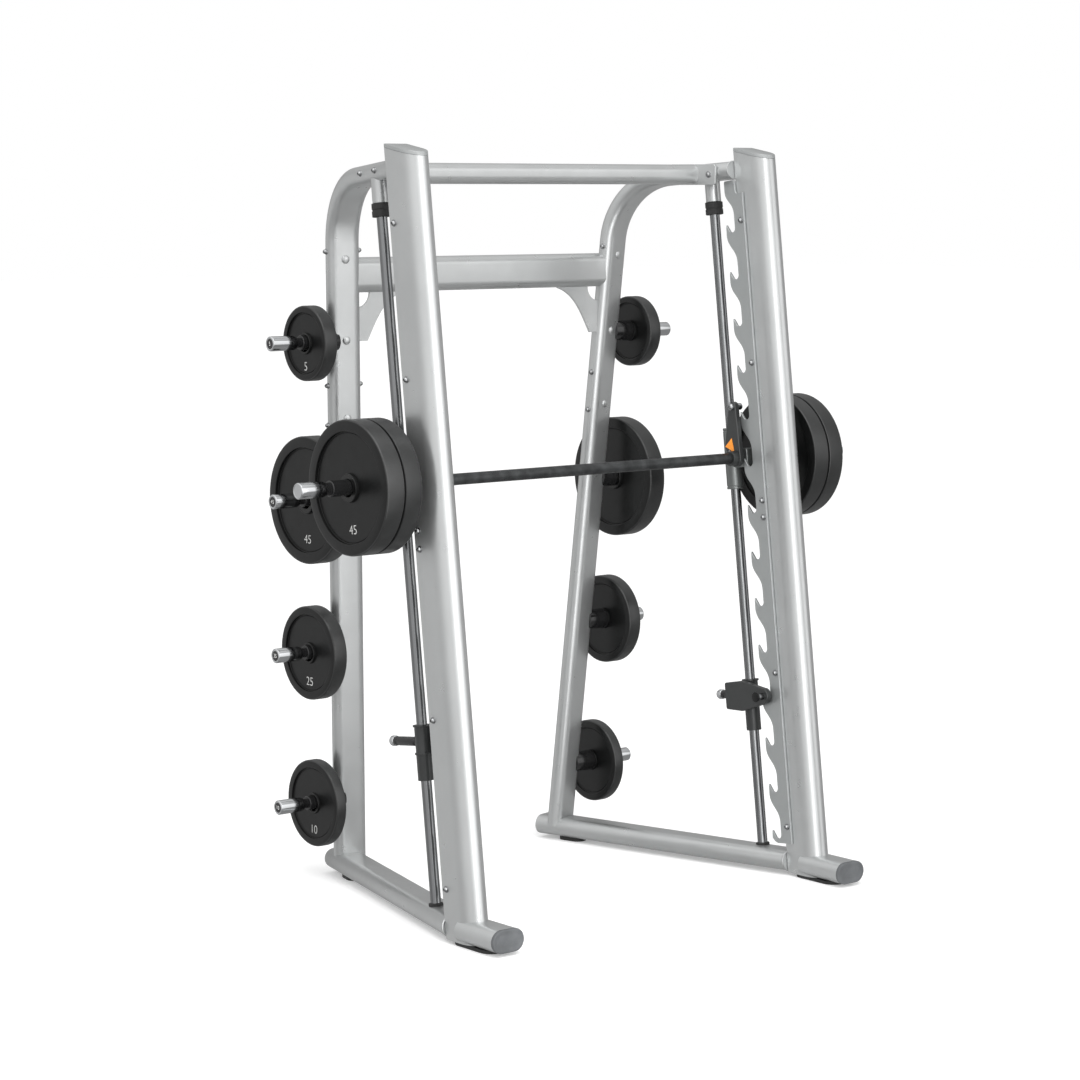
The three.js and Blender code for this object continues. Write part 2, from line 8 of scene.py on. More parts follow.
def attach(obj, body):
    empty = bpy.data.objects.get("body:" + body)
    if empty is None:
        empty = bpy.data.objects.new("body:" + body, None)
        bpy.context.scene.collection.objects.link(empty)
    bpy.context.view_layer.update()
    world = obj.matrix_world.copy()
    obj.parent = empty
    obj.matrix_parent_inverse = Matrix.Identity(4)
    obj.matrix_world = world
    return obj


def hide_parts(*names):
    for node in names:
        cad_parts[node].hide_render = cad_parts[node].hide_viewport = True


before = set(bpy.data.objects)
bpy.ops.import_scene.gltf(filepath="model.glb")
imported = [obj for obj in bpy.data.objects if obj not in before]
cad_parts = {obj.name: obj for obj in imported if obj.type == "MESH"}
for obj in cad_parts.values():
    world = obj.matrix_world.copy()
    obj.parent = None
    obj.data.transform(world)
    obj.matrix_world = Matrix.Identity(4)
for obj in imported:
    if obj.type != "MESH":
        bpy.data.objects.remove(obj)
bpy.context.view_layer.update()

# Lengths are in millimetres, with y measured from the foot of the guide rods and z from the floor;
# DEPTH_CENTRE and MM carry them to the model's frame, which is in metres. Pieces in the LEANING space
# have z along the rods instead, measured from their foot.
MM = 0.001
LEAN = math.radians(7)
SPLAY = math.radians(15)
DEPTH_CENTRE = 252.8
ROD_FOOT_Z = 75
LEVEL = Matrix.Translation((0, -DEPTH_CENTRE, 0))
LEANING = LEVEL @ Matrix.Translation((0, 0, ROD_FOOT_Z)) @ Matrix.Rotation(-LEAN, 4, "X")
SIDES = (("right", 1), ("left", -1))
GAP = 0.3  # between neighbouring solids

ROD_X, ROD_RADIUS = 664, 16
UPRIGHT = dict(x=689, half=43, rear=-127, flat=73, nose=60, floor=10.3, top=2308)  # flat sides, round nose
CAP_SLOPE = math.radians(10)
RAIL = dict(width=110, height=64, z=44.5, x=648, length=860)
FOOT = dict(width=112, height=69, z=45, front=-368, back=-196)
POST_WIDTH, POST_DEPTH = 106, 54
POST_FOOT = Vector((437, 762, 48))
POST_CORNER = Vector((558, 606, 2213))
ARM_END = Vector((678, 105, 2252))
POST_BEND = 225
TOP_BAR = dict(z=2235, y=262, height=63, depth=50)
FLANGE = dict(length=176, height=66, thickness=9, bolts=62)
REAR_BAR = dict(z=1925, height=109, depth=54)
GUSSET = dict(reach=172, drop=150, foot=36, relief=46, thickness=8)
# the catch plate: a tooth is at first + n * pitch, its tip at y = tip, the hollow under it is depth deep
CATCH = dict(x=637.5, thickness=8, front=-165, tip=-78.4, depth=40, pitch=150, teeth=14, first=47)
VALLEY = dict(d=26, h=-6, radius=14)  # the round notch that takes a hook, from the tooth tip
BOLT_LINE = -150
UPRIGHT_BOLTS = (2090, 1638, 1200, 1147, 651, 160)
POST_BOLTS, POST_PLUGS, ARM_BOLTS = (2000, 1585, 1461), (1976, 1726, 1483), (330, 222)
HORN_HEIGHTS = {"5": 1721, "45": 1233, "25": 747, "10": 258}
PLATES = {"5": (116, 46), "10": (138, 36), "25": (147.5, 48), "45": (199, 62)}  # radius, thickness
PLATE_FACES = {"5": 148, "10": 142, "25": 151, "45": 152}  # outer face, from the post's middle
HORN_LENGTH, HORN_RADIUS = 274, 23
TIP, NECK, COLLAR = 93, 17, 21  # lengths at the end of a horn or sleeve
HORN_FLANGE, HORN_FLANGE_THICKNESS = 34, 9
SLEEVE_START, SLEEVE_END, SLEEVE_RADIUS = 742, 1081.9, 24
SLEEVE_COLLAR = dict(radius=36, start=762, end=776)
BORE = 26  # radius of a plate's hole
WASHER_THICKNESS = 1.6
HORN_HANG, SLEEVE_HANG = BORE - HORN_RADIUS - GAP, BORE - SLEEVE_RADIUS - GAP  # how far plates hang
BAR_S, BAR_Y, BAR_RADIUS, BAR_END = 1257, -59.6, 15, 1057
GRIP_RADIUS, GRIP_END = 17.5, 588
BAR_FACE = 907  # outer face of the plates on the bar
CARRIAGE = dict(radius=27, bore=20.3, half=99, inner=649, outer=690)
HOOK = dict(rest=math.radians(2), start=614, end=632, hub=592, length=165)
HOOK_ROUNDS = ((28, 0, 0), (10, 32, 40), (16, 0, HOOK["length"]))  # radius, y, z
# safety stop: its tube, and the arm that narrows from rear to nose
STOP = dict(bottom=374, top=540, waist=451, radius=24, flange=27.5)
ARM = dict(start=613, end=633, rear=70, half=43, waist_y=-8, waist=49, nose=26)
PIN_Y, PIN_S, PIN_RADIUS = -104.4, 489, 11
BUMPER = dict(bottom=2047, top=2087, radius=28.5)
ROD_HOLE = ROD_RADIUS + GAP


# ---- node materials ----
FLAKES = 1500  # metal flakes to the metre
KNURL_PITCH = 0.0016


class Recipe:
    """A procedural material, built up from a Principled shader."""

    def __init__(self, name, metallic=0.0, coat=0.0, specular=0.5):
        self.material = bpy.data.materials.new(name)
        self.material.use_nodes = True
        self.tree = self.material.node_tree
        self.shader = self.tree.nodes["Principled BSDF"]
        self.shader.inputs["Metallic"].default_value = metallic
        self.shader.inputs["Coat Weight"].default_value = coat
        self.shader.inputs["Coat Roughness"].default_value = 0.12
        self.shader.inputs["Specular IOR Level"].default_value = specular
        self.place = self.node("ShaderNodeTexCoord").outputs["Object"]

    def node(self, kind, **settings):
        made = self.tree.nodes.new(kind)
        for key, value in settings.items():
            setattr(made, key, value)
        return made

    def link(self, a, b):
        self.tree.links.new(a, b)

    def stretched(self, scale):
        mapping = self.node("ShaderNodeMapping")
        mapping.inputs["Scale"].default_value = scale
        self.link(self.place, mapping.inputs["Vector"])
        return mapping.outputs["Vector"]

    def noise(self, scale, detail=3.0, stretch=None, roughness=0.55):
        texture = self.node("ShaderNodeTexNoise")
        texture.inputs["Scale"].default_value = scale
        texture.inputs["Detail"].default_value = detail
        texture.inputs["Roughness"].default_value = roughness
        self.link(self.stretched(stretch) if stretch else self.place, texture.inputs["Vector"])
        return texture.outputs["Fac"]

    def cells(self, scale):
        texture = self.node("ShaderNodeTexVoronoi")
        texture.inputs["Scale"].default_value = scale
        self.link(self.place, texture.inputs["Vector"])
        return texture.outputs["Distance"]

    def math(self, operation, a, b=None):
        made = self.node("ShaderNodeMath", operation=operation)
        for slot, value in zip(made.inputs, (a, b)):
            if value is None:
                continue
            if isinstance(value, (int, float)):
                slot.default_value = value
            else:
                self.link(value, slot)
        return made.outputs[0]

    def ramp(self, value, *stops):
        made = self.node("ShaderNodeValToRGB")
        elements = made.color_ramp.elements
        while len(elements) < len(stops):
            elements.new(0.5)
        for element, (at, colour) in zip(elements, stops):
            element.position = at
            element.color = (*colour, 1) if len(colour) == 3 else (colour[0],) * 3 + (1,)
        self.link(value, made.inputs["Fac"])
        return made.outputs["Color"]

    def mix(self, factor, a, b):
        made = self.node("ShaderNodeMix", data_type="RGBA")
        for slot, value in ((0, factor), (6, a), (7, b)):
            if isinstance(value, (int, float)):
                made.inputs[slot].default_value = value
            elif isinstance(value, tuple):
                made.inputs[slot].default_value = (*value, 1)
            else:
                self.link(value, made.inputs[slot])
        return made.outputs[2]

    def colour(self, value):
        self.link(value, self.shader.inputs["Base Color"])

    def roughness(self, value, low, high):
        self.link(self.ramp(value, (0.3, (low,)), (0.7, (high,))), self.shader.inputs["Roughness"])

    def bump(self, *layers):
        """Each layer is (height, strength, distance in metres)."""
        normal = None
        for height, strength, distance in layers:
            made = self.node("ShaderNodeBump")
            made.inputs["Strength"].default_value = strength
            made.inputs["Distance"].default_value = distance
            self.link(height, made.inputs["Height"])
            if normal:
                self.link(normal, made.inputs["Normal"])
            normal = made.outputs["Normal"]
        self.link(normal, self.shader.inputs["Normal"])


def shade(base, factor):
    return tuple(channel * factor for channel in base)


def painted(name, base, metallic, low, high, flake=0.03):
    """Satin paint: soft mottling, metal flake, orange peel and a few faint rubs."""
    r = Recipe(name, metallic=metallic, coat=0.25)
    mottle = r.ramp(r.noise(4.0, 4), (0.35, shade(base, 0.94)), (0.65, shade(base, 1.05)))
    flakes = r.ramp(r.cells(FLAKES), (0.1, shade(base, 1 + 3 * flake)), (0.6, shade(base, 1 - 3 * flake)))
    rubs = r.ramp(r.noise(38, 6, (1, 1, 0.12), 0.7), (0.68, (0.0,)), (0.8, (0.5,)))
    mixed = r.mix(0.35, mottle, flakes)
    r.colour(r.mix(rubs, mixed, shade(base, 0.86)))
    r.roughness(r.noise(22, 5), low, high)
    r.bump((r.noise(260, 2), 0.05, 0.0004), (r.cells(FLAKES), 0.03, 0.0002))
    return r.material


def rubbery(name, base, low, high, grain=900, specular=0.42):
    """Moulded rubber: fine grain, faint dust and duller scuffs."""
    r = Recipe(name, specular=specular)
    tone = r.ramp(r.noise(14, 5), (0.3, shade(base, 0.8)), (0.7, shade(base, 1.3)))
    dust = r.ramp(r.noise(120, 8, None, 0.75), (0.6, (0.0,)), (0.78, (0.35,)))
    r.colour(r.mix(dust, tone, shade(base, 2.6)))
    r.roughness(r.noise(30, 6), low, high)
    r.bump((r.noise(grain, 2), 0.22, 0.0004), (r.noise(26, 3), 0.05, 0.002))
    return r.material


def polished(name, base, low, high, along):
    """Bright plated steel with faint streaks along or around the piece."""
    r = Recipe(name, metallic=1.0)
    r.colour(r.ramp(r.noise(9, 4), (0.3, shade(base, 0.9)), (0.7, base)))
    r.roughness(r.noise(60, 6, along), low, high)
    r.bump((r.noise(420, 3, along), 0.03, 0.0003))
    return r.material


def knurled(name, base):
    """A dark bar with a fine diamond knurl round its own axis, which is parallel to X."""
    r = Recipe(name, metallic=0.75)
    centre_y = (BAR_Y * math.cos(LEAN) + BAR_S * math.sin(LEAN) - DEPTH_CENTRE) * MM
    centre_z = (ROD_FOOT_Z + BAR_S * math.cos(LEAN) - BAR_Y * math.sin(LEAN)) * MM
    parts = r.node("ShaderNodeSeparateXYZ")
    r.link(r.place, parts.inputs[0])
    turn = r.math("ARCTAN2", r.math("SUBTRACT", parts.outputs[1], centre_y),
                  r.math("SUBTRACT", parts.outputs[2], centre_z))
    around = r.math("MULTIPLY", turn, GRIP_RADIUS * MM)
    per_metre = 2 * math.pi / KNURL_PITCH
    up = r.math("SINE", r.math("MULTIPLY", r.math("ADD", parts.outputs[0], around), per_metre))
    down = r.math("SINE", r.math("MULTIPLY", r.math("SUBTRACT", parts.outputs[0], around), per_metre))
    diamonds = r.math("MULTIPLY", up, down)
    worn = r.ramp(r.noise(30, 5), (0.35, shade(base, 0.75)), (0.7, shade(base, 1.6)))
    r.colour(r.mix(r.ramp(diamonds, (0.45, (0.0,)), (0.95, (0.5,))), worn, shade(base, 2.2)))
    r.roughness(r.noise(50, 5), 0.34, 0.5)
    r.bump((diamonds, 0.25, 0.0003))
    return r.material


SILVER = painted("silver_paint", (0.50, 0.51, 0.51), 0.78, 0.27, 0.38)
CATCH_STEEL = painted("catch_plate_paint", (0.40, 0.415, 0.415), 0.75, 0.34, 0.46)
HOUSING = painted("housing_paint", (0.18, 0.19, 0.187), 0.75, 0.3, 0.42)
DARK = painted("dark_steel", (0.035, 0.037, 0.037), 0.35, 0.32, 0.5)
GLOSS = painted("gloss_black", (0.018, 0.018, 0.0185), 0.4, 0.10, 0.17)
PLATE = rubbery("plate_rubber", (0.0042, 0.0044, 0.0044), 0.28, 0.38, specular=0.31)
# the rims' rubber: its colour, lighter than the faces', is a painted sheen; it is also glossier
TREAD_SHEEN = rubbery("plate_tread_painted_sheen", (0.010, 0.0105, 0.0105), 0.3, 0.42, specular=0.62)
HUB = rubbery("hub_ring", (0.004, 0.004, 0.004), 0.16, 0.25)
RUBBER = rubbery("soft_rubber", (0.02, 0.02, 0.02), 0.55, 0.75)
GREY = rubbery("grey_plastic", (0.10, 0.105, 0.11), 0.4, 0.55, 500)
CHROME = polished("chrome", (0.58, 0.59, 0.60), 0.06, 0.16, (1, 1, 8))
# a copy of chrome painted darker, as painted shade: on the collars it stands for a dark reflection
SHADED_CHROME = polished("chrome_painted_shade", (0.22, 0.22, 0.225), 0.12, 0.22, (1, 1, 8))
ROD = polished("rod_chrome", (0.24, 0.245, 0.25), 0.16, 0.26, (1, 1, 0.1))
BOLT = polished("bolt_steel", (0.36, 0.365, 0.37), 0.18, 0.32, (1, 1, 1))
KNURL = knurled("knurled_bar", (0.045, 0.047, 0.048))
ORANGE = rubbery("orange_label", (0.90, 0.30, 0.03), 0.4, 0.5, 300)
WHITE = rubbery("white_print", (0.78, 0.78, 0.77), 0.5, 0.6, 300)
PRINT = rubbery("pale_print", (0.48, 0.48, 0.47), 0.5, 0.6, 300)
CAP_GREY = painted("cap_grey", (0.30, 0.31, 0.31), 0.3, 0.35, 0.5)


# ---- mesh building ----
def loft(rings, caps=True, loop=False):
    """Joins equal rings of points into a skin; loop joins the last ring to the first."""
    count = len(rings[0])
    faces = []
    for i in range(len(rings) if loop else len(rings) - 1):
        a, b = i * count, ((i + 1) % len(rings)) * count
        faces += [(a + k, a + (k + 1) % count, b + (k + 1) % count, b + k) for k in range(count)]
    if caps and not loop:
        faces += [tuple(range(count))[::-1], tuple(range((len(rings) - 1) * count, len(rings) * count))]
    return [Vector(p) for ring in rings for p in ring], faces


def lathe(profile, segments=48, loop=False):
    """Turns (radius, x) pairs about the x axis."""
    rings = []
    for radius, x in profile:
        radius = max(radius, 0.02)
        steps = (2 * math.pi * k / segments for k in range(segments))
        rings.append([(x, radius * math.cos(t), radius * math.sin(t)) for t in steps])
    return loft(rings, loop=loop)


def rounded(profile, radius, steps=3):
    """Rounds each inner corner of an open or closed list of 2-D points."""
    result = [profile[0]]
    for before, at, after in zip(profile, profile[1:], profile[2:]):
        p, q, s = Vector(before), Vector(at), Vector(after)
        cut = min(radius, (p - q).length * 0.45, (s - q).length * 0.45)
        start, end = q + (p - q).normalized() * cut, q + (s - q).normalized() * cut
        for k in range(steps + 1):
            t = k / steps
            result.append(tuple(start * (1 - t) ** 2 + q * 2 * t * (1 - t) + end * t ** 2))
    return result + [profile[-1]]


def oval(width, height, steps=12):
    r = min(width, height) / 2
    a, b = width / 2 - r, height / 2 - r
    points = []
    for cx, cy, start in ((a, b, 0), (-a, b, 90), (-a, -b, 180), (a, -b, 270)):
        for k in range(steps + 1):
            t = math.radians(start + 90 * k / steps)
            point = (cx + r * math.cos(t), cy + r * math.sin(t))
            if not points or math.dist(points[-1], point) > 0.01:
                points.append(point)
    if math.dist(points[0], points[-1]) < 0.01:
        points.pop()
    return points


def inset(outline, by):
    """Moves each point of an anticlockwise outline inwards."""
    result = []
    for k, point in enumerate(outline):
        before, after = Vector(outline[k - 1]), Vector(outline[(k + 1) % len(outline)])
        along = (after - before).normalized()
        result.append((point[0] - along.y * by, point[1] + along.x * by))
    return result


def slab(outline, start, end, edge=1.0, hole=()):
    """A flat plate across x with softened edges; the outline and the hole hold (y, z) pairs."""
    soft = inset(outline, edge)
    vertices, faces = loft([[(x, *p) for p in ring] for x, ring in
                            ((start, soft), (start + edge, outline), (end - edge, outline), (end, soft))],
                           caps=False)
    near = [*range(len(outline)), *range(len(vertices), len(vertices) + len(hole))]
    far = [*range(3 * len(outline), 4 * len(outline)), *(i + len(hole) for i in near[len(outline):])]
    vertices += [Vector((x, *p)) for x in (start, end) for p in hole]
    for k in range(len(outline), len(near)):
        after = k + 1 if k + 1 < len(near) else len(outline)
        faces.append((near[after], near[k], far[k], far[after]))
    flat = [Vector((*p, 0)) for p in (*soft, *hole)]
    loops = [flat[:len(soft)]] + ([flat[len(soft):]] if hole else [])
    for triangle in tessellate_polygon(loops):
        a, b, c = (flat[i].xy for i in triangle)
        i, j, k = triangle if (b - a).cross(c - a) > 0 else triangle[::-1]
        faces += [(far[i], far[j], far[k]), (near[k], near[j], near[i])]
    return vertices, faces


def bead(path, radius=2.6, sides=8):
    """A weld bead along a closed path."""
    rings = []
    for k, point in enumerate(path):
        along = (path[(k + 1) % len(path)] - path[k - 1]).normalized()
        side = along.orthogonal().normalized() if k == 0 else (side - along * side.dot(along)).normalized()
        other = along.cross(side)
        swell = radius * (1 + 0.12 * math.sin(k * 2.4))
        rings.append([point + side * swell * math.cos(2 * math.pi * j / sides)
                      + other * swell * math.sin(2 * math.pi * j / sides) for j in range(sides)])
    return loft(rings, loop=True)


def dome(radius, height, segments=24):
    """A button head along +x, with a socket."""
    return lathe([(0, -3), (radius, -3), (radius, 0.6), (radius * 0.93, height * 0.45),
                  (radius * 0.72, height * 0.82), (radius * 0.5, height), (radius * 0.42, height),
                  (radius * 0.38, height * 0.5), (0, height * 0.5)], segments)


def washer(radius):
    return lathe([(0, -1), (radius, -1), (radius, 1.2), (radius - 0.8, 1.8), (0, 1.8)], 28)


class Piece:
    """Collects parts, then makes one object, or a mirrored pair."""

    def __init__(self, name, space=LEVEL):
        self.name, self.space = name, space
        self.vertices, self.faces, self.slots, self.materials = [], [], [], []

    def add(self, part, material, place=None):
        vertices, faces = part
        base = len(self.vertices)
        self.vertices += [place @ v for v in vertices] if place else vertices
        self.faces += [tuple(base + i for i in face) for face in faces]
        if material not in self.materials:
            self.materials.append(material)
        self.slots += [self.materials.index(material)] * len(faces)
        return self

    def repaint(self, material, first, last):
        """Gives the faces from first up to last another material."""
        self.materials.append(material)
        self.slots[first:last] = [len(self.materials) - 1] * (last - first)

    def make(self, name, flip, body, replaces, angle):
        mesh = bpy.data.meshes.new(name)
        scale = Matrix.Diagonal((flip * MM, MM, MM, 1))
        points = [scale @ (self.space @ v) for v in self.vertices]
        faces = [face[::-1] if flip < 0 else face for face in self.faces]
        mesh.from_pydata(points, [], faces)
        for material in self.materials:
            mesh.materials.append(material)
        mesh.polygons.foreach_set("material_index", self.slots)
        mesh.validate()
        mesh.shade_smooth()
        mesh.set_sharp_from_angle(angle=math.radians(angle))
        made = bpy.data.objects.new(name, mesh)
        bpy.context.scene.collection.objects.link(made)
        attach(made, body)
        if replaces:
            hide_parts(*replaces)
        return made

    def one(self, body, slot, *replaces, angle=34):
        return self.make(self.name, 1, body, replaces, angle)

    def pair(self, body, slot, *replaces, angle=34):
        for side, flip in SIDES:
            names = [node.format(side) for node in replaces]
            self.make(f"{self.name}_{side}", flip, body.format(side), names, angle)


def at(x, y, z, axis="x"):
    """A place whose x axis points along axis."""
    turns = {"x": Matrix(), "-x": Matrix.Rotation(math.pi, 4, "Z"),
             "y": Matrix.Rotation(math.pi / 2, 4, "Z"), "z": Matrix.Rotation(-math.pi / 2, 4, "Y")}
    return Matrix.Translation((x, y, z)) @ turns[axis]


def onto_plane(point, direction, plane_point, normal):
    """Where the line from point along direction meets a plane."""
    return point + direction * ((plane_point - point).dot(normal) / direction.dot(normal))


ON_ROD = at(ROD_X, 0, 0, "z")


# ---- frame geometry ----
LEAN_UP = Vector((0, math.sin(LEAN), math.cos(LEAN)))
LEAN_BACK = Vector((0, math.cos(LEAN), -math.sin(LEAN)))
BACK_FACE = Vector((0, 0, ROD_FOOT_Z)) + LEAN_BACK * UPRIGHT["rear"]


def leaning_point(x, y, s):
    return Vector((x, 0, ROD_FOOT_Z)) + LEAN_BACK * y + LEAN_UP * s


def upright_outline(grow=0.0):
    half, corner = UPRIGHT["half"] + grow, 4
    rear, flat, nose = UPRIGHT["rear"] + grow, UPRIGHT["flat"], UPRIGHT["nose"] + grow
    points = []
    for cx, sign in ((half - corner, 1), (-half + corner, -1)):
        for k in range(7):
            t = math.radians(90 * k / 6 if sign > 0 else 90 + 90 * k / 6)
            points.append((cx + corner * math.cos(t), rear - corner + corner * math.sin(t)))
    for k in range(41):
        t = math.pi + math.pi * k / 40
        points.append((half * math.cos(t), UPRIGHT["rear"] - flat + nose * math.sin(t)))
    return [(UPRIGHT["x"] + x, y) for x, y in points]


def cap_plane(height):
    rear_y = (UPRIGHT["top"] - ROD_FOOT_Z) * math.tan(LEAN) + UPRIGHT["rear"] / math.cos(LEAN)
    normal = Vector((0, -math.sin(CAP_SLOPE), math.cos(CAP_SLOPE)))
    return Vector((UPRIGHT["x"], rear_y, UPRIGHT["top"])) + normal * height, normal


def leaning_ring(outline, plane, normal):
    return [onto_plane(leaning_point(x, y, 0), LEAN_UP, plane, normal) for x, y in outline]


def build_uprights():
    piece = Piece("front_upright")
    floor = Vector((0, 0, UPRIGHT["floor"]))
    up = Vector((0, 0, 1))
    outline = upright_outline()
    piece.add(loft([leaning_ring(outline, floor, up), leaning_ring(outline, *cap_plane(0))]), SILVER)
    foot = oval(FOOT["width"], FOOT["height"])
    stations = ((FOOT["back"], 0.95), (FOOT["back"] + 3, 1), (FOOT["front"], 1))
    rings = [[(UPRIGHT["x"] + x * scale, y, FOOT["z"] + z * scale) for x, z in foot]
             for y, scale in stations]
    piece.add(loft([ring[::-1] for ring in rings]), SILVER)
    piece.pair("frame", "frame_silver", "front_upright_{}")
    cap = Piece("upright_cap")
    steps = ((GAP, 0.8), (1.2, 0.0), (9.5, 0.0), (11.2, 0.8), (12.0, 3.0))  # height, inset
    cap.add(loft([leaning_ring(upright_outline(-inward), *cap_plane(h)) for h, inward in steps]), CAP_GREY)
    cap.pair("frame", "frame_silver", "upright_cap_{}")


def build_feet():
    cap = Piece("foot_cap")
    start = FOOT["front"] - GAP
    steps = ((0, 0), (-8.5, 0), (-10.2, 0.8), (-11, 2.6), (-11, 7), (-10.2, 9), (-10.2, 20))  # depth, inset
    rings = []
    for depth, inward in steps:
        ring = oval(FOOT["width"] + 2 - 2 * inward, FOOT["height"] - 2 * inward)
        rings.append([(UPRIGHT["x"] + x, start + depth, FOOT["z"] + z) for x, z in ring])
    cap.add(loft(rings), GREY)
    cap.pair("frame", "grey_plastic", "foot_cap_{}")


def build_rails():
    rail = Piece("base_rail")
    along = Vector((-math.sin(SPLAY), math.cos(SPLAY), 0))
    across = Vector((math.cos(SPLAY), math.sin(SPLAY), 0))
    origin = Vector((RAIL["x"], 0, RAIL["z"]))
    outline = oval(RAIL["width"], RAIL["height"])
    base = [origin + across * u + Vector((0, 0, v)) for u, v in outline]
    front = [onto_plane(p, along, BACK_FACE, LEAN_BACK) for p in base]
    length = RAIL["length"]
    stations = ((length - 3, 1.0), (length - 0.8, 0.985), (length, 0.95))  # the eased rear end
    rings = [front] + [[origin + along * t + across * u * f + Vector((0, 0, v * f)) for u, v in outline]
                       for t, f in stations]
    rail.add(loft([ring[::-1] for ring in rings]), SILVER)
    rail.add(bead(front), SILVER)
    rail.pair("frame", "frame_silver", "base_rail_{}")


def post_frames():
    """Centres and directions down the middle of a rear post and its arm."""
    up = (POST_CORNER - POST_FOOT).normalized()
    on = (ARM_END - POST_CORNER).normalized()
    angle = up.angle(on)
    reach = POST_BEND * math.tan(angle / 2)
    forward = (on - up * on.dot(up)).normalized()
    side = up.cross(forward)
    start = POST_CORNER - up * reach
    frames = [(POST_FOOT, up)]
    for k in range(33):
        t = angle * k / 32
        centre = start + forward * POST_BEND * (1 - math.cos(t)) + up * POST_BEND * math.sin(t)
        frames.append((centre, up * math.cos(t) + forward * math.sin(t)))
    return frames, side, on


def build_posts():
    post = Piece("rear_upright")
    frames, side, on = post_frames()
    outline = oval(POST_WIDTH, POST_DEPTH)
    rings = [[centre + side * u + along.cross(side) * v for u, v in outline] for centre, along in frames]
    end = [onto_plane(p, on, BACK_FACE, LEAN_BACK) for p in rings[-1]]
    rings.append(end)
    post.add(loft(rings), SILVER)
    post.add(bead(end, 2.2), SILVER)
    post.pair("frame", "frame_silver", "rear_upright_{}")


def post_point(z):
    up = POST_CORNER - POST_FOOT
    return POST_FOOT + up * ((z - POST_FOOT.z) / up.z)


def build_top_bar():
    arm = ARM_END - POST_CORNER
    angle = math.atan2(arm.x, -arm.y)
    centre = POST_CORNER + arm * ((POST_CORNER.y - TOP_BAR["y"]) / -arm.y)
    inner = centre.x - POST_WIDTH / 2 / math.cos(angle)
    bar = Piece("top_crossbar")
    outline = oval(TOP_BAR["depth"], TOP_BAR["height"])
    rings = [[(end * (inner - 6 - u * math.tan(angle)), TOP_BAR["y"] + u, TOP_BAR["z"] + v)
              for u, v in outline] for end in (-1, 1)]
    bar.add(loft(rings), SILVER)
    plate = rounded_rectangle(FLANGE["length"] / 2, FLANGE["height"] / 2, 9)
    for sign in (1, -1):
        turn = (Matrix.Translation((sign * inner, TOP_BAR["y"], TOP_BAR["z"]))
                @ Matrix.Rotation(sign * angle, 4, "Z"))
        inside, outside = -sign * (FLANGE["thickness"] + 1), -sign * 1
        bar.add(slab(plate, min(inside, outside), max(inside, outside), 1.2), SILVER, turn)
        for y in (-FLANGE["bolts"], FLANGE["bolts"]):
            bolt(bar, turn @ at(inside, y, 0, "-x" if sign > 0 else "x"), 8, 7.5, 11)
    bar.one("frame", "frame_silver", "top_crossbar")


def build_rear_bar():
    rear = Piece("rear_crossbar")
    post = post_point(REAR_BAR["z"])
    bottom = REAR_BAR["z"] - REAR_BAR["height"] / 2
    outline = oval(REAR_BAR["depth"], REAR_BAR["height"])
    reach = post.x - 20
    rings = [[(x, post.y + u, REAR_BAR["z"] + v) for u, v in outline] for x in (-reach, reach)]
    rear.add(loft(rings), SILVER)
    inner = post_point(bottom).x - POST_WIDTH / 2
    web = gusset_outline(inner, bottom)
    turn = Matrix.Translation((0, post.y, 0)) @ Matrix.Rotation(math.pi / 2, 4, "Z")
    for sign in (1, -1):
        outline = web if sign > 0 else [(-x, z) for x, z in web][::-1]
        half = GUSSET["thickness"] / 2
        rear.add(slab([(-x, z) for x, z in outline][::-1], -half, half, 1.0), SILVER, turn)
    rear.one("frame", "frame_silver", "rear_crossbar")


def rounded_rectangle(half_y, half_z, radius, steps=6):
    points = []
    for cy, cz, start in ((1, 1, 0), (-1, 1, 90), (-1, -1, 180), (1, -1, 270)):
        for k in range(steps + 1):
            t = math.radians(start + 90 * k / steps)
            points.append((cy * (half_y - radius) + radius * math.cos(t),
                           cz * (half_z - radius) + radius * math.sin(t)))
    return points


def bezier(p0, p1, p2, p3, steps):
    p0, p1, p2, p3 = (Vector(p) for p in (p0, p1, p2, p3))
    result = []
    for k in range(steps + 1):
        t = k / steps
        point = p0 * (1 - t) ** 3 + p1 * 3 * t * (1 - t) ** 2 + p2 * 3 * t * t * (1 - t) + p3 * t ** 3
        result.append(tuple(point))
    return result


def gusset_outline(inner, bottom):
    """The web in (x, z), anticlockwise, on the machine's right."""
    reach, drop, foot, relief = GUSSET["reach"], GUSSET["drop"], GUSSET["foot"], GUSSET["relief"]
    edge = bezier((inner - reach, bottom - 2), (inner - reach + 74, bottom - 22),
                  (inner - foot - 34, bottom - 88), (inner - foot, bottom - drop), 24)
    points = [(inner - reach, bottom + 6), *edge, (inner + 30, bottom - drop)]
    turns = [math.radians(270 - 90 * k / 12) for k in range(13)]
    points += [(inner + 2 + relief * math.cos(t) + (0 if k else 28), bottom + relief * math.sin(t))
               for k, t in enumerate(turns)]
    points.append((inner + 2 - relief, bottom + 6))
    return points


